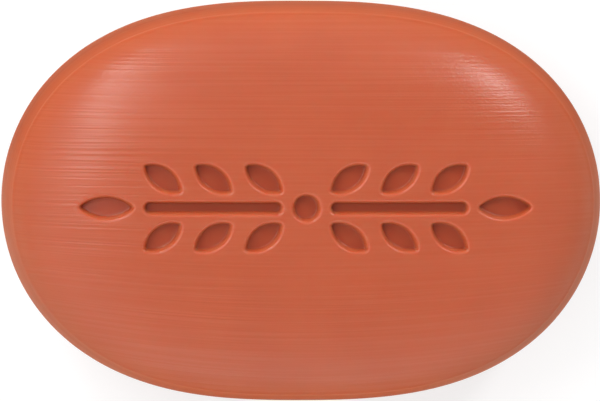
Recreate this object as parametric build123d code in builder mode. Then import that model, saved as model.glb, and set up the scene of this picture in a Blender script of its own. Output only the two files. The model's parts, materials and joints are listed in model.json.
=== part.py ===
"""A pressed shampoo bar: one solid of waxy soap with a leaf sprig stamped into its crown.

Millimetres. The bar lies on its flat rest face with the stamped face up. The origin is the
middle of the rest face, +X runs along the bar's length and +Z is up.
"""
import os
from math import atan2, copysign, cos, pi, radians, sin, sqrt

from build123d import *

# Outer form of the bar, measured from the parting plane half way up its side
bar_length = 92.0
bar_width = 61.3
crown_rise = 15.5
rest_drop = 15.5
rest_trim = 0.5         # what the flat rest face takes off the lower dome
outline_power = 2.7     # 2 gives an ellipse seen from above, more gives fuller ends
side_power = 3.0        # 2 gives a round side, more gives a fuller shoulder

# Two witness ridges round the side, where the dies met the frame between them
belt_reach = 8.2        # parting plane to the middle of a ridge
ridge_width = 0.4
ridge_height = 0.18

# Section of every stamped hollow
stamp_depth = 1.6
rim_depth = 0.35        # depth of the flared rim, above the drafted wall
rim_flare = 45.0
wall_draft = 12.0

# The sprig: a bead in the middle, and on each side a stem, leaf pairs and an end leaf
bead_radius = 2.0
stem_width = 1.8
stem_gap = 1.7          # bead's edge to the stem's end
leaf_length = 6.8
leaf_width = 3.4
leaf_tip_radius = 0.5
leaf_angle = 36.0
leaf_pitch = 7.6
leaf_pairs = 3
leaf_gap = 1.5          # stem's edge to a leaf's root
end_leaf_length = 8.4
end_leaf_gap = 1.5      # stem's end to the end leaf's root

overrun = 0.6           # how far a cut runs past the surface that it cuts
level_count = 14        # steps from the parting plane to the end of each half
outline_count = 24      # points on each level

half_length = bar_length / 2
half_width = bar_width / 2
dome_drop = rest_drop + rest_trim


def outline(grow_x, grow_y):
    """Closed curve round the bar with these half axes: |x/a|^power + (y/b)^2 = 1."""
    points = []
    for step in range(outline_count):
        turn = 2 * pi * step / outline_count
        across = sqrt(max(0, 1 - abs(sin(turn)) ** outline_power))
        points.append((grow_x * sin(turn), copysign(grow_y * across, cos(turn))))
    return Spline(*points, periodic=True)


def half_axes(share):
    """Half length and half width of the level whose width is this share of the bar's."""
    return half_length * share ** (2 / outline_power), half_width * share


def share_at(rise_share):
    """Width share of the level at this share of the dome's rise."""
    return (1 - rise_share ** side_power) ** (1 / side_power)


def crown_plane(x, y):
    """Plane that touches the crown over the point (x, y), with its z axis pointing out."""
    share = sqrt(abs(x / half_length) ** outline_power + (y / half_width) ** 2)
    rise_share = share_at(share)
    fall = crown_rise * share ** (side_power - 2) * rise_share ** (1 - side_power)
    slope_x = fall * outline_power / 2 * abs(x / half_length) ** (outline_power - 1) / half_length
    slope_y = fall * y / half_width ** 2
    top = (x, y, rest_drop + crown_rise * rise_share)
    out = (copysign(slope_x, x), slope_y, 1)
    return Plane(origin=top, x_dir=(1, 0, -copysign(slope_x, x)), z_dir=out)


def leaf_outline(length, turn):
    """Pointed leaf about its own middle, turned by an angle in degrees."""
    with BuildSketch() as leaf:
        with BuildLine(Plane.XY.rotated((0, 0, turn))):
            ThreePointArc((-length / 2, 0), (0, leaf_width / 2), (length / 2, 0))
            ThreePointArc((length / 2, 0), (0, -leaf_width / 2), (-length / 2, 0))
        make_face()
        fillet(leaf.vertices(), leaf_tip_radius)
    return leaf.sketch


def stem_outline(length):
    """Straight stem with round ends."""
    with BuildSketch() as stem:
        SlotOverall(length, stem_width)
    return stem.sketch


def bead_outline():
    """Round bead."""
    with BuildSketch() as bead:
        Circle(bead_radius)
    return bead.sketch


def hollow(shape, x, y):
    """Tool for one stamped hollow: a flared rim over drafted walls and a flat floor."""
    throat = crown_plane(x, y).offset(-rim_depth)
    with BuildPart() as tool:
        with BuildSketch(throat) as mouth:
            add(shape)
        extrude(amount=rim_depth - stamp_depth, taper=wall_draft)
        extrude(mouth.sketch, amount=rim_depth + overrun, taper=-rim_flare)
    return tool.part


# The blank: an upper and a lower half, each a skin through level outlines up to the parting plane
rest_angle = atan2(rest_drop / dome_drop, share_at(rest_drop / dome_drop))
bead_share = (bead_radius / 2 / half_length) ** (outline_power / 2)
bead_angle = atan2(share_at(bead_share), bead_share)

with BuildPart() as blank:
    for rise, last_angle in ((crown_rise, bead_angle), (-dome_drop, rest_angle)):
        for level in range(level_count + 1):
            angle = last_angle * level / level_count
            reach = (cos(angle) ** side_power + sin(angle) ** side_power) ** (1 / side_power)
            with BuildSketch(Plane.XY.offset(rest_drop + rise * sin(angle) / reach)):
                with BuildLine():
                    outline(*half_axes(cos(angle) / reach))
                make_face()
        loft()

# The stamp's tools: bead, stems, leaf pairs and end leaves
bearing = radians(leaf_angle)
stem_start = bead_radius + stem_gap
root_side = stem_width / 2 + leaf_gap
leaf_end = stem_start + (leaf_pairs - 1) * leaf_pitch + leaf_length * cos(bearing)
stem_length = leaf_end - stem_start
end_leaf_middle = leaf_end + end_leaf_gap + end_leaf_length / 2

tools = [hollow(bead_outline(), 0, 0)]
for end in (1, -1):
    tools.append(hollow(stem_outline(stem_length), end * (stem_start + stem_length / 2), 0))
    tools.append(hollow(leaf_outline(end_leaf_length, 0), end * end_leaf_middle, 0))
    for pair in range(leaf_pairs):
        middle_x = stem_start + pair * leaf_pitch + leaf_length / 2 * cos(bearing)
        middle_y = root_side + leaf_length / 2 * sin(bearing)
        for side in (1, -1):
            leaf = leaf_outline(leaf_length, end * side * leaf_angle)
            tools.append(hollow(leaf, end * middle_x, side * middle_y))

# The bar: blank, witness ridges, stamped sprig
with BuildPart() as soap_bar:
    add(blank.part)
    for belt_side, dome in ((1, crown_rise), (-1, dome_drop)):
        ridge_x, ridge_y = half_axes(share_at(belt_reach / dome))
        ridge_base = rest_drop + belt_side * belt_reach - ridge_width / 2
        with BuildSketch(Plane.XY.offset(ridge_base)):
            with BuildLine():
                outline(ridge_x + ridge_height, ridge_y + ridge_height)
            make_face()
        extrude(amount=ridge_width)
    add(tools, mode=Mode.SUBTRACT)

soap_bar.part.label = "soap_bar"
os.makedirs("parts", exist_ok=True)
export_step(soap_bar.part, "parts/soap_bar.step")
print("soap_bar", round(soap_bar.part.volume), "mm3", soap_bar.part.bounding_box().size)
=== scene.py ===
# %% [markdown]
# # A pressed shampoo bar
#
# The object is one piece: an oval bar of coral soap that two dies pressed from a hot billet. Its crown is a
# soft dome with a leaf sprig stamped into it, its side is a rounded band with two fine witness ridges, and it
# lies on a small flat. The frame gives the real sizes, in metres, and this notebook gives the bar its skin,
# its waxy finish, and a plain white studio.

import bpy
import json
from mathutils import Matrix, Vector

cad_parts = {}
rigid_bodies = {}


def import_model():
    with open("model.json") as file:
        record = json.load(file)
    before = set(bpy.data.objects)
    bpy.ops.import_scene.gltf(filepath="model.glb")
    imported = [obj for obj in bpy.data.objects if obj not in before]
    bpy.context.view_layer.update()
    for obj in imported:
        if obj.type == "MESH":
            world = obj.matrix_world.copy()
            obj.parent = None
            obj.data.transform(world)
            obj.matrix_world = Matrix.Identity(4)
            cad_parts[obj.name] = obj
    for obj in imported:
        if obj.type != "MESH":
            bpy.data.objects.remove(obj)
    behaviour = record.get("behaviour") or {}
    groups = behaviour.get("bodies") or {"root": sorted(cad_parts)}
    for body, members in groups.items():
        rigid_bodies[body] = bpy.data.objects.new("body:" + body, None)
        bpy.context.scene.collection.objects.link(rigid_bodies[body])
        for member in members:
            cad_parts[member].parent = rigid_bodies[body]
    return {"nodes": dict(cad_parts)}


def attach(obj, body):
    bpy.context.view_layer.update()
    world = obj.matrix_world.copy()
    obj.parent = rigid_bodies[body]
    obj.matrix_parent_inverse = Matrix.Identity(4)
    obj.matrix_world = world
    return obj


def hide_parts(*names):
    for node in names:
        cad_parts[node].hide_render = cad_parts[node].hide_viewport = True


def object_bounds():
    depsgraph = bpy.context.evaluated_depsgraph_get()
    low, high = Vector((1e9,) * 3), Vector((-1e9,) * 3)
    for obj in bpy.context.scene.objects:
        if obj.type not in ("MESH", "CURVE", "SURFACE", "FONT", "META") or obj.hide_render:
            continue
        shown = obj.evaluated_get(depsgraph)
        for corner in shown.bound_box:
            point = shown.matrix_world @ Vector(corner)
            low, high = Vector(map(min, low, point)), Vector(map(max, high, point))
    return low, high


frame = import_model()
cad_low, cad_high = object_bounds()
print("solid's size in mm:", [round(side * 1000, 2) for side in cad_high - cad_low])

# %% [markdown]
# ## The rule behind the form
#
# Seen from above, every level of the bar is one curve: |x/a|^p + (y/b)^2 = share^2. The power p is a little over
# 2, so the ends are fuller than an ellipse's. From the side, the levels rise as share^m + rise^m = 1, which is a
# dome with a full shoulder. A subdivided sphere could be pushed into such a form by eye, but a rule gives the same
# skin as the solid's, and the same numbers place the stamp.

# %% Sizes of the outer form
import math

import bmesh
import bpy
import numpy as np
from mathutils import Matrix, Vector, geometry
from mathutils.bvhtree import BVHTree

MM = 0.001
half_length = (cad_high.x - cad_low.x) / 2
half_width = (cad_high.y - cad_low.y) / 2
parting_height = (cad_high.z - cad_low.z) / 2
rest_trim = 0.5 * MM
lower_drop = parting_height + rest_trim
outline_power = 2.7
side_power = 3.0
ring_count = 336


def share_at(rise_share):
    """Width share of the level at a share of the dome's rise, or the other way round."""
    return (1 - rise_share ** side_power) ** (1 / side_power)


def level_ring(share):
    """Points of one level's outline in plan, clockwise from the top of the plan."""
    turn = np.arange(ring_count) * 2 * math.pi / ring_count
    across = np.sqrt(np.clip(1 - np.abs(np.sin(turn)) ** outline_power, 0, None))
    x = half_length * share ** (2 / outline_power) * np.sin(turn)
    y = half_width * share * np.copysign(across, np.cos(turn))
    return np.stack((x, y), axis=1)


print("points on each level:", ring_count)

# %% [markdown]
# ## The section of a stamped hollow
#
# A die leaves soft rims: the crown rolls over into a drafted wall, and the wall meets the floor in a small round.
# A boolean cut would leave hard edges that need a bevel afterwards. Here the section is drawn once, as pairs of
# offset from the outline and depth below the crown, and every hollow uses it.

# %% Draw the section
stamp_depth = 1.6 * MM
throat_depth = 0.35 * MM
wall_draft = math.radians(12)
rim_radius = 0.58 * MM
floor_radius = 0.25 * MM
rim_steps = 7
floor_steps = 4


def hollow_section():
    """Offsets from the throat outline, outwards positive, and the depths that go with them."""
    sweep = math.pi / 2 - wall_draft
    rim_reach = rim_radius * math.tan(sweep / 2)
    floor_reach = floor_radius * math.tan(sweep / 2)
    wall_top = throat_depth * math.tan(wall_draft)
    wall_foot = (throat_depth - stamp_depth) * math.tan(wall_draft)
    pairs = []
    for turn in np.linspace(0, sweep, rim_steps + 1):
        pairs.append((wall_top + rim_reach - rim_radius * math.sin(turn), rim_radius * (1 - math.cos(turn))))
    for turn in np.linspace(sweep, 0, floor_steps + 1):
        offset = wall_foot - floor_reach + floor_radius * math.sin(turn)
        pairs.append((offset, stamp_depth - floor_radius * (1 - math.cos(turn))))
    return pairs


section = hollow_section()
print("section in mm:", [(round(offset / MM, 2), round(depth / MM, 2)) for offset, depth in section])

# %% [markdown]
# ## Outlines of the bead, stems and leaves
#
# Each outline is a run of arcs, so every point is stored as an arc's centre, its radius and a bearing. Growing or
# shrinking the outline is then exact: only the radius changes. A leaf is two wide arcs with a small round at each
# tip, a stem is a slot, and the bead is a circle.

# %% Draw the outlines
bead_radius = 2.0 * MM
stem_width = 1.8 * MM
stem_gap = 1.7 * MM
leaf_length = 6.8 * MM
leaf_width = 3.4 * MM
leaf_tip_radius = 0.5 * MM
leaf_angle = math.radians(36)
leaf_pitch = 7.6 * MM
leaf_pairs = 3
leaf_gap = 1.5 * MM
end_leaf_length = 8.4 * MM
end_leaf_gap = 1.5 * MM
tip_points, side_points, bead_points = 12, 44, 64


def arc(centre, radius, start, stop, count):
    """Rows of centre x, centre y, radius and bearing along one arc, without its last point."""
    bearings = np.linspace(start, stop, count, endpoint=False)
    rows = np.empty((count, 4))
    rows[:] = (*centre, radius, 0)
    rows[:, 3] = bearings
    return rows


def bead_outline():
    """Rows of a round bead."""
    return arc((0, 0), bead_radius, 0, 2 * math.pi, bead_points)


def leaf_outline(length):
    """Rows of a leaf with small round tips, lying along x."""
    side_radius = (length ** 2 + leaf_width ** 2) / (4 * leaf_width)
    side_centre = side_radius - leaf_width / 2
    tip_centre = math.sqrt((side_radius - leaf_tip_radius) ** 2 - side_centre ** 2)
    lean = math.atan2(side_centre, tip_centre)
    return np.vstack([
        arc((tip_centre, 0), leaf_tip_radius, -lean, lean, tip_points),
        arc((0, -side_centre), side_radius, lean, math.pi - lean, side_points),
        arc((-tip_centre, 0), leaf_tip_radius, math.pi - lean, math.pi + lean, tip_points),
        arc((0, side_centre), side_radius, math.pi + lean, 2 * math.pi - lean, side_points),
    ])


def stem_outline(length):
    """Rows of a slot, lying along x."""
    half_run = (length - stem_width) / 2
    quarter = math.pi / 2
    right = arc((half_run, 0), stem_width / 2, -quarter, quarter, tip_points * 2)
    upper = arc((half_run, 0), stem_width / 2, quarter, quarter, side_points)
    upper[:, 0] = np.linspace(half_run, -half_run, side_points, endpoint=False)
    half = np.vstack([right, upper])
    other = half * (-1, -1, 1, 1) + (0, 0, 0, math.pi)
    return np.vstack([half, other])


def grown(outline, offset):
    """Plan points of an outline moved outwards by an offset."""
    reach = outline[:, 2] + offset
    return outline[:, :2] + np.stack((reach * np.cos(outline[:, 3]), reach * np.sin(outline[:, 3])), axis=1)


stem_start = bead_radius + stem_gap
leaf_end = stem_start + (leaf_pairs - 1) * leaf_pitch + leaf_length * math.cos(leaf_angle)
stem_length = leaf_end - stem_start
outlines = {
    "hollow_0_bead": bead_outline(),
    "hollow_1_stem": stem_outline(stem_length),
    "hollow_2_leaf": leaf_outline(leaf_length),
    "hollow_3_end_leaf": leaf_outline(end_leaf_length),
}
print("points on each outline:", {name: len(rows) for name, rows in outlines.items()})

# %% [markdown]
# ## Where each hollow goes
#
# The sprig lies along the bar, with the bead in the middle and the same stem, leaf pairs and end leaf on each
# side. The places are a list of kind, plan position and turn, worked out by loops, and they become the points
# that carry the copies later on.

# %% Lay out the sprig
BEAD, STEM, LEAF, END_LEAF = range(len(outlines))
leaf_run = leaf_length / 2 * math.cos(leaf_angle)
leaf_side = stem_width / 2 + leaf_gap + leaf_length / 2 * math.sin(leaf_angle)
places = [(BEAD, 0, 0, 0)]
for end in (1, -1):
    places.append((STEM, end * (stem_start + stem_length / 2), 0, 0))
    places.append((END_LEAF, end * (leaf_end + end_leaf_gap + end_leaf_length / 2), 0, 0))
    for pair in range(leaf_pairs):
        for side in (1, -1):
            middle = end * (stem_start + pair * leaf_pitch + leaf_run)
            places.append((LEAF, middle, side * leaf_side, end * side * leaf_angle))


def placed(points, place):
    """Plan points turned and moved to a place."""
    _, x, y, turn = place
    spin = np.array(((math.cos(turn), math.sin(turn)), (-math.sin(turn), math.cos(turn))))
    return points @ spin + (x, y)


print("hollows:", len(places))

# %% [markdown]
# ## A flat plan of the bar
#
# The dome hides a simple idea: draw the whole skin flat first, then raise it. Between the outlines the plan is
# filled with a Delaunay triangulation over a honeycomb of points, so the mesh follows every rim exactly and stays
# even elsewhere. A regular grid would leave saw teeth along the leaves.

# %% Fill flat areas with even triangles
def crossings_odd(points, loops):
    """True for each point that lies inside an odd number of closed loops."""
    odd = np.zeros(len(points), bool)
    px, py = points[:, :1], points[:, 1:]
    for loop in loops:
        x0, y0 = loop[:, 0], loop[:, 1]
        x1, y1 = np.roll(x0, -1), np.roll(y0, -1)
        spans = (y0 > py) != (y1 > py)
        rise = np.where(y1 == y0, 1, y1 - y0)
        odd ^= (spans & (px < x0 + (py - y0) * (x1 - x0) / rise)).sum(1) % 2 == 1
    return odd


clear_share = 0.6    # honeycomb points stay this share of their spacing away from a rim


def honeycomb(loops, spacing):
    """Evenly spread points inside the loops, kept clear of them."""
    reach = np.abs(loops[0]).max(0) + spacing
    columns = np.arange(-reach[0], reach[0], spacing)
    rows = np.arange(-reach[1], reach[1], spacing * math.sqrt(3) / 2)
    x, y = np.meshgrid(columns, rows)
    x[1::2] += spacing / 2
    points = np.stack((x.ravel(), y.ravel()), axis=1)
    points = points[crossings_odd(points, loops)]
    for loop in loops:
        gap = np.min([np.hypot(*(points - corner).T) for corner in loop], axis=0)
        points = points[gap > spacing * clear_share]
    return points


def fill_plan(loops, spacing):
    """Points and triangles of the area between closed loops. The loops' points come first, in order."""
    inner = honeycomb(loops, spacing)
    points = np.vstack([*loops, inner])
    edges, start = [], 0
    for loop in loops:
        edges += [(start + i, start + (i + 1) % len(loop)) for i in range(len(loop))]
        start += len(loop)
    flat = [Vector(point / MM) for point in points]
    all_triangles, same_point = 0, 1e-6
    _, _, faces, origin, _, _ = geometry.delaunay_2d_cdt(flat, edges, [], all_triangles, same_point)
    faces = np.array([[origin[corner][0] for corner in face] for face in faces])
    middle = points[faces].mean(1)
    return points, faces[crossings_odd(middle, loops)]


land_spacing = 0.7 * MM
floor_spacing = 0.5 * MM
crown_share = 0.86
rim_offset = section[0][0]
kinds = list(outlines)
land_loops = [level_ring(crown_share)]
land_loops += [placed(grown(outlines[kinds[place[0]]], rim_offset), place) for place in places]
land_points, land_faces = fill_plan(land_loops, land_spacing)
print("crown plan:", len(land_points), "points,", len(land_faces), "triangles")

# %% [markdown]
# ## Levels of the side and the underside
#
# Below the crown the skin is a stack of rings, one for each level, from the crown's edge over the widest line to
# the flat that the bar rests on. The rings stand closer together at the two witness ridges, which a die leaves
# where it meets the frame round the soap.

# %% Stack the rings
belt_reach = 8.2 * MM
ridge_reach = 0.45 * MM
ridge_rings = 8
ring_step = math.radians(2)
floor_shares = (0.8, 0.6, 0.4, 0.2, 0.08)


def level_angles():
    """Angles of the levels from the crown's edge down to the rest face, closer at the ridges."""
    top = math.atan2(share_at(crown_share), crown_share)
    bottom = -math.atan2(parting_height / lower_drop, share_at(parting_height / lower_drop))
    angles = list(np.linspace(top, 0, round(top / ring_step) + 1))
    angles += list(np.linspace(0, bottom, round(-bottom / ring_step) + 1))[1:]
    for side, dome in ((1, parting_height), (-1, lower_drop)):
        zone = [belt_reach + ridge_reach * t for t in np.linspace(-1, 1, ridge_rings + 1)]
        fine = [side * math.atan2(z / dome, share_at(z / dome)) for z in zone]
        angles = [a for a in angles if not min(fine) - ring_step / 3 < a < max(fine) + ring_step / 3]
        angles += fine
    return sorted(angles, reverse=True)


rings, rises, prouds = [], [], []
for angle in level_angles():
    reach = (math.cos(angle) ** side_power + abs(math.sin(angle)) ** side_power) ** (1 / side_power)
    rise = math.sin(angle) / reach
    height = abs(rise) * (parting_height if rise > 0 else lower_drop)
    ridge = max(0.0, 1 - ((height - belt_reach) / ridge_reach) ** 2) ** 2
    rings.append(level_ring(math.cos(angle) / reach))
    rises.append(rise)
    prouds.append(ridge)
rest_share = share_at(parting_height / lower_drop)
for share in floor_shares:
    rings.append(level_ring(rest_share * share))
    rises.append(-parting_height / lower_drop)
    prouds.append(0.0)
print("rings:", len(rings))

# %% [markdown]
# ## Plain meshes for the plan
#
# Three kinds of flat mesh hold the plan: the crown with holes for the sprig, the rings, and one hollow of each
# kind. Named attributes travel with the points: how deep a point is sunk, which level it belongs to, and whether
# it is on a ridge. Geometry Nodes reads them by name.

# %% Write the plan meshes
def plan_object(name, points, faces, **attributes):
    """A flat mesh object that carries one float attribute for each name."""
    mesh = bpy.data.meshes.new(name)
    mesh.from_pydata([(x, y, 0) for x, y in points], [], [list(map(int, face)) for face in faces])
    for label, values in attributes.items():
        layer = mesh.attributes.new(label, "FLOAT", "POINT")
        layer.data.foreach_set("value", np.asarray(values, np.float32))
    return bpy.data.objects.new(name, mesh)


def strip(first, second, count):
    """Quads between two closed rows of points that start at these indices."""
    follow = [(i + 1) % count for i in range(count)]
    return [(first + i, first + follow[i], second + follow[i], second + i) for i in range(count)]


def hollow_plan(name, outline):
    """Rows of points down the section, and a filled floor."""
    count = len(outline)
    rows = [grown(outline, offset) for offset, _ in section]
    depths = np.repeat([depth for _, depth in section], count)
    floor_points, floor_faces = fill_plan([rows[-1]], floor_spacing)
    faces = list(floor_faces + (len(rows) - 1) * count)
    for row in range(len(rows) - 1):
        faces += strip(row * count, (row + 1) * count, count)
    points = np.vstack([*rows[:-1], floor_points])
    sunk = np.append(depths, np.full(len(floor_points) - count, stamp_depth))
    return plan_object(name, points, faces, sunk=sunk)


hollows = bpy.data.collections.new("hollows")
for name, outline in outlines.items():
    hollows.objects.link(hollow_plan(name, outline))
crown = plan_object("crown_plan", land_points, land_faces)

ring_faces = []
for row in range(len(rings) - 1):
    ring_faces += strip(row * ring_count, (row + 1) * ring_count, ring_count)
last = (len(rings) - 1) * ring_count
pole = len(rings) * ring_count
ring_faces += [(last + i, last + (i + 1) % ring_count, pole) for i in range(ring_count)]
side = plan_object(
    "side_plan",
    np.vstack([*rings, (0, 0)]),
    ring_faces,
    rise=np.append(np.repeat(rises, ring_count), rises[-1]),
    proud=np.append(np.repeat(prouds, ring_count), 0),
    on_side=np.ones(pole + 1),
)
print("side plan:", len(side.data.vertices), "points")

# %% [markdown]
# ## One function for every node
#
# The node trees are built in code, so that each step has a name. The function adds a node, sets its properties,
# fills its inputs with values or with links, and gives back the output that the next node needs.

# %% Add a node with its settings and links
def add(tree, kind, inputs=(), out=0, **settings):
    """Add a node and give back one of its outputs. An input is a value, a socket, or a list of sockets."""
    made = tree.nodes.new(kind)
    for name, value in settings.items():
        setattr(made, name, value)
    for name, value in inputs.items() if isinstance(inputs, dict) else enumerate(inputs):
        for source in value if isinstance(value, list) else [value]:
            if isinstance(source, bpy.types.NodeSocket):
                tree.links.new(source, made.inputs[name])
            else:
                made.inputs[name].default_value = source
    return made.outputs[out] if made.outputs else made


MATH, VALUE = "ShaderNodeMath", "GeometryNodeInputNamedAttribute"
print("node function:", add.__name__)

# %% [markdown]
# ## A tree that presses the bar
#
# One Geometry Nodes tree makes the whole bar, because its shape follows a rule. The same could be done point by point
# in Python, but a tree shows each step as a node. The sizes are named inputs, so that each number says what it is,
# and a flatter or a fuller dome can be tried without touching a node.

# %% Name the tree's inputs
press = bpy.data.node_groups.new("press_soap_bar", "GeometryNodeTree")
for name, kind in {
    "Places": "Geometry", "Hollows": "Collection", "Crown plan": "Object", "Side plan": "Object",
    "Half length": "Float", "Half width": "Float", "Outline power": "Float", "Side power": "Float",
    "Crown rise": "Float", "Lower drop": "Float", "Parting height": "Float", "Ridge height": "Float",
    "Wave height": "Float", "Waves per metre": "Float", "Weld distance": "Float", "Soap": "Material",
}.items():
    press.interface.new_socket(name=name, in_out="INPUT", socket_type="NodeSocket" + kind)
press.interface.new_socket(name="Bar", in_out="OUTPUT", socket_type="NodeSocketGeometry")
given = press.nodes.new("NodeGroupInput").outputs
print("inputs of the tree:", len(given) - 1)

# %% [markdown]
# ## Repeat the hollows
#
# An engraver cuts a die's leaves with one cutter, and the tree does the same: the sprig's places are points, and
# each gets a copy of its hollow, turned to its own angle. Duplicated objects would do too, but then a change to one
# leaf has to be made twelve times. The copies, the crown and the rings are then joined into one flat plan.

# %% Copy the hollows to their places
copies = add(press, "GeometryNodeCollectionInfo", {
    "Collection": given["Hollows"], "Separate Children": True, "Reset Children": True})
kind = add(press, VALUE, ["kind"], data_type="INT")
turn = add(press, "ShaderNodeCombineXYZ", {"Z": add(press, VALUE, ["turn"], data_type="FLOAT")})
sprig = add(press, "GeometryNodeInstanceOnPoints", {
    "Points": given["Places"], "Instance": copies, "Pick Instance": True, "Instance Index": kind, "Rotation": turn})
sprig = add(press, "GeometryNodeRealizeInstances", {"Geometry": sprig})
crown_flat = add(press, "GeometryNodeObjectInfo", {"Object": given["Crown plan"]}, out="Geometry")
side_flat = add(press, "GeometryNodeObjectInfo", {"Object": given["Side plan"]}, out="Geometry")
flat = add(press, "GeometryNodeJoinGeometry", {"Geometry": [sprig, crown_flat, side_flat]})
print("nodes so far:", len(press.nodes))

# %% [markdown]
# ## Raise the dome
#
# The dies squeeze a flat billet into a dome, and here the flat plan is raised into one. A point's place in the plan
# gives its width share, the share gives its rise, and a sunk point then goes down by its depth. A ring already knows
# its rise, because the upper and the lower half have the same plan. At the end, points that meet are welded.

# %% Raise every point to its level
spot = add(press, "GeometryNodeInputPosition")
apart = add(press, "ShaderNodeSeparateXYZ", [spot]).node.outputs
along = add(press, MATH, [apart["X"], given["Half length"]], operation="DIVIDE")
along = add(press, MATH, [along], operation="ABSOLUTE")
along = add(press, MATH, [along, given["Outline power"]], operation="POWER")
across = add(press, MATH, [apart["Y"], given["Half width"]], operation="DIVIDE")
share = add(press, MATH, [across, across, along], operation="MULTIPLY_ADD")
share = add(press, MATH, [share], operation="SQRT")
fall = add(press, MATH, [share, given["Side power"]], operation="POWER")
fall = add(press, MATH, [1.0, fall], operation="SUBTRACT", use_clamp=True)
root = add(press, MATH, [1.0, given["Side power"]], operation="DIVIDE")
dome = add(press, MATH, [fall, root], operation="POWER")
on_side = add(press, VALUE, ["on_side"], data_type="FLOAT")
side_rise = add(press, VALUE, ["rise"], data_type="FLOAT")
rise = add(press, "GeometryNodeSwitch", {"Switch": on_side, "False": dome, "True": side_rise}, input_type="FLOAT")
below = add(press, MATH, [rise, 0.0], operation="LESS_THAN")
reach = add(press, "GeometryNodeSwitch", {
    "Switch": below, "False": given["Crown rise"], "True": given["Lower drop"]}, input_type="FLOAT")
level = add(press, MATH, [rise, reach, given["Parting height"]], operation="MULTIPLY_ADD")
height = add(press, MATH, [level, add(press, VALUE, ["sunk"], data_type="FLOAT")], operation="SUBTRACT")
raised = add(press, "ShaderNodeCombineXYZ", [apart["X"], apart["Y"], height])
skin = add(press, "GeometryNodeSetPosition", {"Geometry": flat, "Position": raised})
skin = add(press, "GeometryNodeMergeByDistance", {"Geometry": skin, "Distance": given["Weld distance"]})
print("nodes so far:", len(press.nodes))

# %% [markdown]
# ## Ridges and slow waves
#
# A little soap creeps into the joint between a die and its frame and leaves a fine ridge. A warm bar also never
# leaves its die quite even. Both could be sculpted by hand, but as shifts along the surface's own normal they have
# sizes that can be set. The waves go inwards, so that the bar doesn't grow, and they spare the rest face, so that it
# stays flat.

# %% Push out the ridges, add the waves, and finish
wave_crest = 0.85    # close to the top of the noise, so that the waves go inwards
waves = add(press, "ShaderNodeTexNoise", {"Vector": spot, "Scale": given["Waves per metre"], "Detail": 1.0})
wave = add(press, MATH, [waves, wave_crest], operation="SUBTRACT")
wave = add(press, MATH, [wave, given["Wave height"]], operation="MULTIPLY")
clear = add(press, MATH, [apart["Z"], given["Weld distance"]], operation="GREATER_THAN")
wave = add(press, MATH, [wave, clear], operation="MULTIPLY")
proud = add(press, VALUE, ["proud"], data_type="FLOAT")
push = add(press, MATH, [proud, given["Ridge height"], wave], operation="MULTIPLY_ADD")
out = add(press, "GeometryNodeInputNormal")
shift = add(press, "ShaderNodeVectorMath", {"Vector": out, "Scale": push}, operation="SCALE")
skin = add(press, "GeometryNodeSetPosition", {"Geometry": skin, "Offset": shift})
skin = add(press, "GeometryNodeSetShadeSmooth", {"Geometry": skin})
skin = add(press, "GeometryNodeRealizeInstances", {"Geometry": skin})
skin = add(press, "GeometryNodeSetMaterial", {"Geometry": skin, "Material": given["Soap"]})
add(press, "NodeGroupOutput", {"Bar": skin})
print("nodes of the tree:", len(press.nodes))

# %% [markdown]
# ## Drag lines in pressed soap
#
# The bar is milled soap with pigment all through it. Before it was pressed, it was squeezed through a nozzle as a
# long billet, and that left fine lines along the bar. They are far too fine for the mesh, so they are a pattern:
# noise that is stretched along the bar. On the upper half of the crown the lines run straight, and on the lower half
# they bow with the outline. Round the side the height takes the place of the width. The dies polished the hollows,
# so the lines stop at their rims.

# %% Lay the drag lines along the bar
# Pressed soap gives the eye a warm colour with some depth, under a satin shine that breaks up into lines.
soap = bpy.data.materials.new("pressed_soap")
soap.use_nodes = True
wax = soap.node_tree
wax.nodes.clear()
line_width = 0.44 * MM    # one line or one groove: the pair is about as wide as in the photograph
line_length = 36 * MM
line_bow = 0.26           # how much closer together the lower lines lie at the ends
fade_start, fade_end = 0.1 * stamp_depth, 0.5 * stamp_depth    # depths over which a rim takes the lines away

place = add(wax, "ShaderNodeTexCoord", out="Object")
spot = add(wax, "ShaderNodeSeparateXYZ", [place]).node.outputs
run = add(wax, MATH, [spot["X"], line_length], operation="DIVIDE")
along = add(wax, MATH, [spot["X"], half_length], operation="DIVIDE")
along = add(wax, MATH, [along, along], operation="MULTIPLY")
bow = add(wax, MATH, [spot["Y"], 0.0], operation="MINIMUM")
bow = add(wax, MATH, [bow, along], operation="MULTIPLY")
across = add(wax, MATH, [bow, line_bow, spot["Y"]], operation="MULTIPLY_ADD")
across = add(wax, MATH, [across, line_width], operation="DIVIDE")
crown_lay = add(wax, "ShaderNodeCombineXYZ", [run, across, 0.0])
band_level = add(wax, MATH, [spot["Z"], line_width], operation="DIVIDE")
band_turn = add(wax, MATH, [spot["Y"], line_length], operation="DIVIDE")
band_lay = add(wax, "ShaderNodeCombineXYZ", [run, band_level, band_turn])
off_middle = add(wax, MATH, [spot["Z"], parting_height], operation="SUBTRACT")
off_middle = add(wax, MATH, [off_middle], operation="ABSOLUTE")
in_band = add(wax, MATH, [off_middle, belt_reach], operation="LESS_THAN")
lay = add(wax, "ShaderNodeMix", {0: in_band, 4: crown_lay, 5: band_lay}, out=1, data_type="VECTOR")
lines = add(wax, "ShaderNodeTexNoise", {"Vector": lay, "Scale": 1.0, "Detail": 1.0, "Roughness": 0.6})
sunk = add(wax, "ShaderNodeAttribute", out="Fac", attribute_name="sunk")
dragged = add(wax, "ShaderNodeMapRange", {
    "Value": sunk, "From Min": fade_start, "From Max": fade_end, "To Min": 1.0, "To Max": 0.0})
ridged = add(wax, MATH, [lines, dragged], operation="MULTIPLY")
print("nodes of the soap so far:", len(wax.nodes))

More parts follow.
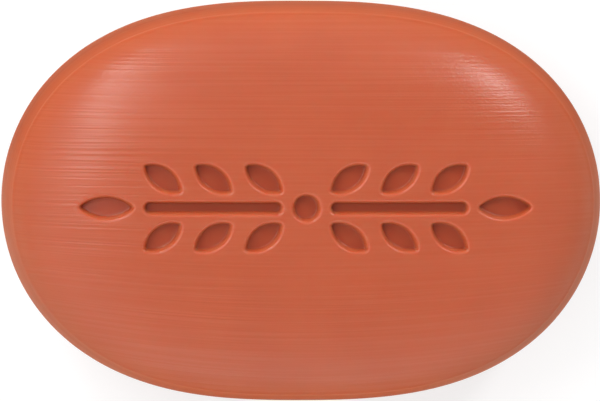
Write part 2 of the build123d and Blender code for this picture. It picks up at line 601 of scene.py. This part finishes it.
# %% [markdown]
# ## Relief for the shine
#
# Lines this shallow hardly change the colour of the soap. They show where they break up the shine, so the relief
# goes into two bumps: a strong one for the shiny film and a weak one for the body under it. One bump for both would
# make the colour as streaky as the shine. The lines are deeper towards the left end, and a fine grain of pits roughens
# the brightest shine.

# %% Turn the lines into relief
line_height = 0.11 * MM    # drawn deeper than real lines are likely to be, so that they show
body_share = 0.35          # how much of the lines the body under the film shows
right_share = 0.55         # depth of the lines on the right, as a share of the depth on the left
deep_end, shallow_end = -0.6 * half_length, 0.2 * half_length
grain_size = 0.3 * MM      # drawn coarser than real pits are likely to be, so that they show
grain_share = 0.22         # height of the grain, as a share of the lines'

depth = add(wax, "ShaderNodeMapRange", {
    "Value": spot["X"], "From Min": deep_end, "From Max": shallow_end, "To Min": 1.0, "To Max": right_share})
relief = add(wax, MATH, [ridged, depth], operation="MULTIPLY")
grain = add(wax, "ShaderNodeTexNoise", {"Vector": place, "Scale": 1 / grain_size, "Detail": 0.0})
pitted = add(wax, MATH, [grain, grain_share, relief], operation="MULTIPLY_ADD")
film_bump = add(wax, "ShaderNodeBump", {"Strength": 1.0, "Distance": line_height, "Height": pitted})
body_bump = add(wax, "ShaderNodeBump", {"Strength": 1.0, "Distance": line_height * body_share, "Height": relief})
print("lines in mm: width", line_width / MM, "height", round(line_height / MM, 2))

# %% [markdown]
# ## Tones of the soap
#
# Milled soap is not one even colour: the pigment is a little cloudy. On top of that, painted shade darkens the side
# band and the floors of the hollows, and a pale painted sheen lies low on the two ends, for light from the lower side.
# Each tone is a hex value, as a paint program shows it, and one function makes it linear for the shader. A painted
# picture could hold all this, but masks from a point's own place need no unwrapping and stay sharp at any distance.

# %% Write the tones and mix the cloudy body
def linear(code):
    """Linear colour of an sRGB hex value."""
    parts = [int(code[i:i + 2], 16) / 255 for i in (1, 3, 5)]
    return (*[c / 12.92 if c <= 0.04045 else ((c + 0.055) / 1.055) ** 2.4 for c in parts], 1.0)


SOAP_LIGHT = linear("#C05F3D")
SOAP_DEEP = linear("#B75837")
SOAP_LINE = linear("#A44A29")
# Painted shade: the side band is darker, for light that falls off where the side turns away.
SOAP_SIDE_SHADE = linear("#A04A2D")
# A pale painted sheen on the ends: light from lamps low on the lower side, painted into the colour.
SOAP_PAINTED_SHEEN = linear("#AE644C")
# Painted shade: the floors of the hollows are darker, for the shade that falls in them.
SOAP_HOLLOW_SHADE = linear("#B04E2C")
mottle_size = 9 * MM

mottle = add(wax, "ShaderNodeTexNoise", {"Vector": place, "Scale": 1 / mottle_size, "Detail": 2.0})
tone = add(wax, "ShaderNodeMix", {0: mottle, 6: SOAP_DEEP, 7: SOAP_LIGHT}, out=2, data_type="RGBA")
print("soap colours, linear:", [tuple(round(c, 3) for c in code[:3]) for code in (SOAP_LIGHT, SOAP_DEEP)])

# %% [markdown]
# ## Side, ends, hollows and grooves
#
# Four masks lay the other tones over the body, one after the other: the height off the parting line for the painted
# shade on the side, the distance along the bar for the painted sheen on the ends, the depth of the stamp for the
# painted shade in the hollows, and the line pattern for the grooves.

# %% Tone the side, the ends, the hollows and the grooves
band_start = 0.6 * belt_reach
# The pale tone on the ends is a painted sheen, for light from the lower side, and these numbers place it.
sheen_slant = 0.6                          # how far the bloom leans towards the lower edge
sheen_left = 0.1                           # how much of its reach it loses on the left
sheen_start = 0.72 * half_length
sheen_low, sheen_high = 7 * MM, 12 * MM    # distances off the parting line over which it fades
groove_tone = 0.06
groove_low, groove_high = 0.35, 0.6        # values of the line pattern on a groove's floor and at its edge

# Painted shade: the side is darkest near the widest line and clears by the belt's reach.
band = add(wax, "ShaderNodeMapRange", {
    "Value": off_middle, "From Min": band_start, "From Max": belt_reach, "To Min": 1.0, "To Max": 0.0})
tone = add(wax, "ShaderNodeMix", {0: band, 6: tone, 7: SOAP_SIDE_SHADE}, out=2, data_type="RGBA")
# Painted sheen: pale on the ends, leaning to the lower edge, shorter on the left, fading up the crown.
ends = add(wax, MATH, [spot["X"]], operation="ABSOLUTE")
left = add(wax, MATH, [spot["X"], 0.0], operation="MINIMUM")
ends = add(wax, MATH, [left, sheen_left, ends], operation="MULTIPLY_ADD")
ends = add(wax, MATH, [spot["Y"], -sheen_slant, ends], operation="MULTIPLY_ADD")
ends = add(wax, "ShaderNodeMapRange", {"Value": ends, "From Min": sheen_start, "From Max": half_length})
low = add(wax, "ShaderNodeMapRange", {
    "Value": off_middle, "From Min": sheen_low, "From Max": sheen_high, "To Min": 1.0, "To Max": 0.0})
painted_sheen = add(wax, MATH, [ends, low], operation="MULTIPLY")
tone = add(wax, "ShaderNodeMix", {0: painted_sheen, 6: tone, 7: SOAP_PAINTED_SHEEN}, out=2, data_type="RGBA")
# Painted shade in the hollows: the floors take the darker tone where the drag lines fade.
tone = add(wax, "ShaderNodeMix", {0: dragged, 6: SOAP_HOLLOW_SHADE, 7: tone}, out=2, data_type="RGBA")
groove = add(wax, "ShaderNodeMapRange", {
    "Value": lines, "From Min": groove_low, "From Max": groove_high, "To Min": groove_tone, "To Max": 0.0})
groove = add(wax, MATH, [groove, dragged], operation="MULTIPLY")
colour = add(wax, "ShaderNodeMix", {0: groove, 6: tone, 7: SOAP_LINE}, out=2, data_type="RGBA")
print("nodes of the soap so far:", len(wax.nodes))

# %% [markdown]
# ## Body and waxy film
#
# Light goes a little way into soap and comes out warmer, so rims glow and hollows stay warm. That is subsurface
# scattering, and red reaches furthest. A plain painted colour would look like plastic. Over the body lies a thin film
# that a polished die leaves, and that is the shader's coat. The film is whole on the crown, nearly gone on the side,
# and thinner in the grooves than on the crests. Its roughness is one number on the shader's own socket, so that it
# stays with the model wherever that goes, and the film's weight does the fading.

# %% Join the body and the film
soap_ior = 1.5
body_roughness = 0.8
light_depth = 1.0 * MM
light_reach = (1.0, 0.4, 0.25)    # how far red, green and blue travel, as shares of the depth
film_roughness = 0.32
film_on_side, film_in_grooves = 0.12, 0.72
polish_low, polish_high = 6.5 * MM, 13 * MM    # distances off the parting line over which the film sets in
crest_low, crest_high = 0.4, 0.65              # values of the line pattern in a groove and on a crest

polish = add(wax, "ShaderNodeMapRange", {
    "Value": off_middle, "From Min": polish_low, "From Max": polish_high}, interpolation_type="SMOOTHERSTEP")
film = add(wax, "ShaderNodeMapRange", {"Value": polish, "To Min": film_on_side, "To Max": 1.0})
crest = add(wax, "ShaderNodeMapRange", {
    "Value": ridged, "From Min": crest_low, "From Max": crest_high, "To Min": film_in_grooves, "To Max": 1.0})
film = add(wax, MATH, [film, crest], operation="MULTIPLY")
body = add(wax, "ShaderNodeBsdfPrincipled", {
    "Base Color": colour, "Roughness": body_roughness, "IOR": soap_ior, "Specular IOR Level": 0.0,
    "Normal": body_bump, "Subsurface Weight": 1.0, "Subsurface Radius": light_reach, "Subsurface Scale": light_depth,
    "Coat Weight": film, "Coat Roughness": film_roughness, "Coat IOR": soap_ior, "Coat Normal": film_bump,
}, subsurface_method="RANDOM_WALK")
add(wax, "ShaderNodeOutputMaterial", {"Surface": body})
print("nodes of the soap:", len(wax.nodes))

# %% [markdown]
# ## Press the bar
#
# Now the tree runs. The modifier gets its sizes by socket identifier, before the object is evaluated for the first
# time. The result is then copied into a plain mesh, which needs no modifier any more, and the flat plans are thrown
# away.

# %% Evaluate the tree and keep a plain mesh
sizes = {
    "Hollows": hollows, "Crown plan": crown, "Side plan": side, "Soap": soap,
    "Half length": half_length, "Half width": half_width,
    "Outline power": outline_power, "Side power": side_power,
    "Crown rise": parting_height, "Lower drop": lower_drop, "Parting height": parting_height,
    "Ridge height": 0.09 * MM, "Wave height": 0.05 * MM, "Waves per metre": 70.0, "Weld distance": 0.002 * MM,
}
dots = bpy.data.meshes.new("sprig_places")
dots.from_pydata([(x, y, 0) for _, x, y, _ in places], [], [])
dots.attributes.new("kind", "INT", "POINT").data.foreach_set("value", [place[0] for place in places])
dots.attributes.new("turn", "FLOAT", "POINT").data.foreach_set("value", [place[3] for place in places])
die = bpy.data.objects.new("sprig_places", dots)
bpy.context.scene.collection.objects.link(die)
modifier = die.modifiers.new("press", "NODES")
modifier.node_group = press
for item in press.interface.items_tree:
    if item.name in sizes:
        modifier[item.identifier] = sizes[item.name]

graph = bpy.context.evaluated_depsgraph_get()
pressed = die.evaluated_get(graph)
bar = bpy.data.objects.new(
    "soap_bar_skin", bpy.data.meshes.new_from_object(pressed, preserve_all_data_layers=True, depsgraph=graph))
bpy.context.scene.collection.objects.link(bar)
for helper in (die, crown, side, *hollows.objects):
    bpy.data.objects.remove(helper)
bpy.data.collections.remove(hollows)
print("points of the bar:", len(bar.data.vertices))

# %% [markdown]
# ## Measure the skin against the solid
#
# A skin that stands for a solid has to be closed, face outwards and keep the solid's form. The edges, the volume
# and the distance from the solid show all three.

# %% Measure the skin
shape = bmesh.new()
shape.from_mesh(bar.data)
open_edges = sum(not edge.is_manifold for edge in shape.edges)
volume = shape.calc_volume(signed=True)
triangles = sum(len(face.verts) - 2 for face in shape.faces)
shape.free()
solid = BVHTree.FromObject(frame["nodes"]["soap_bar"], graph)
gaps = [solid.find_nearest(vertex.co)[3] for vertex in bar.data.vertices]
print("open edges:", open_edges, "volume in cm3:", round(volume * 1e6, 2), "triangles:", triangles)
print("distance from the solid in mm: mean", round(np.mean(gaps) / MM, 3), "most", round(max(gaps) / MM, 3))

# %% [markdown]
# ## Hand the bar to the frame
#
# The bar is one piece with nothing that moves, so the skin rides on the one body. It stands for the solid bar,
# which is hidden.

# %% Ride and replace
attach(bar, "root")
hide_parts("soap_bar")
print("rides on root:", bar.name)

# %% [markdown]
# ## White paper
#
# The bar lies on a wide sheet of white paper. As a matt surface the paper takes the bar's shadow. Lamps that made it
# plain white would make the soap too pale, so the paper glows a little instead, for rays from the eye and for rays
# that come by way of a shine or a glass. The light that falls on the soap stays as it is.

# %% Lay the paper
# Uncoated paper gives the eye an even white with no shine of its own.
paper_half = 2.0
paper_glow = 0.60
paper = bpy.data.materials.new("white_paper")
paper.use_nodes = True
sheet = paper.node_tree
sheet.nodes.clear()
path = add(sheet, "ShaderNodeLightPath").node.outputs
seen = add(sheet, MATH, [path["Is Glossy Ray"], path["Is Transmission Ray"]], operation="ADD")
seen = add(sheet, MATH, [path["Is Camera Ray"], seen], operation="ADD", use_clamp=True)
strength = add(sheet, MATH, [seen, paper_glow], operation="MULTIPLY")
matt = add(sheet, "ShaderNodeBsdfDiffuse", {"Color": linear("#B2B2B2")})
glow = add(sheet, "ShaderNodeEmission", {"Strength": strength})
add(sheet, "ShaderNodeOutputMaterial", {"Surface": add(sheet, "ShaderNodeAddShader", [matt, glow])})

mesh = bpy.data.meshes.new("floor")
corners = [(-paper_half, -paper_half), (paper_half, -paper_half), (paper_half, paper_half), (-paper_half, paper_half)]
mesh.from_pydata([(x, y, 0) for x, y in corners], [], [(0, 1, 2, 3)])
mesh.materials.append(paper)
floor = bpy.data.objects.new("floor", mesh)
bpy.context.scene.collection.objects.link(floor)
print("paper in metres:", 2 * paper_half)

# %% [markdown]
# ## White room
#
# The soft light comes from the room. Its walls are bright beyond the two long edges of the bar, and panels to the
# left and right reach up towards the ceiling. A picture of a studio could be wrapped round the scene, but a few sums
# over the direction give a soft room too, with nothing to load.

# %% Light the room
room_level = 0.20
room_walls = 1.15
room_lower = 0.5      # how much brighter the wall towards the lower edge is
room_panels = 1.25
room_left = 0.70      # how much brighter the left panel is

world = bpy.data.worlds.new("white_room")
world.use_nodes = True
room = world.node_tree
room.nodes.clear()
way = add(room, "ShaderNodeTexCoord", out="Generated")
way = add(room, "ShaderNodeSeparateXYZ", [way]).node.outputs
walls = add(room, MATH, [way["Y"], -room_lower, room_walls], operation="MULTIPLY_ADD")
faced = add(room, MATH, [way["Y"], way["Y"]], operation="MULTIPLY")
walls = add(room, MATH, [walls, faced, room_level], operation="MULTIPLY_ADD")
lean = add(room, MATH, [way["X"], -room_left], operation="MULTIPLY")
panels = add(room, MATH, [way["X"]], operation="ABSOLUTE")
panels = add(room, MATH, [panels, room_panels, lean], operation="MULTIPLY_ADD")
height = add(room, MATH, [way["Z"], 0.0], operation="MAXIMUM")
strength = add(room, MATH, [panels, height, walls], operation="MULTIPLY_ADD")
surround = add(room, "ShaderNodeBackground", {"Color": linear("#FFFFFF"), "Strength": strength})
add(room, "ShaderNodeOutputWorld", {"Surface": surround})
bpy.context.scene.world = world
print("nodes of the room:", len(room.nodes))

# %% [markdown]
# ## Softboxes
#
# Two softboxes stand beyond the upper edge, and a strip lamp leans in on the left. They make the highlights on the
# shoulders. A highlight lies where the surface mirrors a lamp to the eye, so each lamp is placed by the directions of
# its two ends, as seen from the bar, and it faces the bar.

# %% Place the softboxes
softboxes = {
    "softbox_left": {"ends": ((-0.48, 0.80, 0.36), (-0.45, 0.60, 0.66)), "width": 0.10, "power": 0.84},
    "strip_left": {"ends": ((-0.46, 0.50, 0.73), (-0.43, 0.10, 0.90)), "width": 0.09, "power": 0.74},
    "softbox_right": {"ends": ((0.53, 0.71, 0.47), (0.55, 0.51, 0.66)), "width": 0.06, "power": 1.02},
}
lamp_distance = 0.6
bar_middle = Vector((0, 0, parting_height))


def facing(back, up):
    """Turn that points the local Z axis along back, with the local Y axis as near to up as it can be."""
    right = up.cross(back).normalized()
    return Matrix((right, back.cross(right), back)).transposed().to_4x4()


for name, plan in softboxes.items():
    first, last = [Vector(end).normalized() * lamp_distance for end in plan["ends"]]
    light = bpy.data.lights.new(name, "AREA")
    light.shape = "RECTANGLE"
    light.size = plan["width"]
    light.size_y = (first - last).length
    light.energy = plan["power"]
    stand = bpy.data.objects.new(name, light)
    turn = facing((first + last).normalized(), first - last)
    stand.matrix_world = Matrix.Translation(bar_middle + (first + last) / 2) @ turn
    bpy.context.scene.collection.objects.link(stand)
print("softboxes:", list(softboxes))

# %% [markdown]
# ## Camera
#
# The picture looks almost straight down on the bar through a long lens, from a little beyond its upper edge and a
# little to the left. The bar's outline fills the frame from side to side, so the lens follows from that length and
# the distance. The Standard view shows the colours as they are written.

# %% Aim the camera
camera_distance = 0.70
tilt_up = math.radians(4.5)
tilt_left = math.radians(3.2)
roll = math.radians(0.24)
framed_length = 92.3 * MM
aim = bar_middle + Vector((-0.14, -0.05, 0)) * MM

lens = bpy.data.cameras.new("camera")
lens.sensor_width = 36.0
lens.lens = lens.sensor_width * camera_distance / framed_length
camera = bpy.data.objects.new("camera", lens)
back = Vector((-math.tan(tilt_left), math.tan(tilt_up), 1)).normalized()
upward = Vector((-math.sin(roll), math.cos(roll), 0))
camera.matrix_world = Matrix.Translation(aim + back * camera_distance) @ facing(back, upward)
bpy.context.scene.collection.objects.link(camera)
bpy.context.scene.camera = camera
bpy.context.scene.view_settings.view_transform = "Standard"
print("lens in mm:", round(lens.lens, 1))

# %% [markdown]
# ## The json module
#
# The last cell imports the json module.

# %% Import json
import json
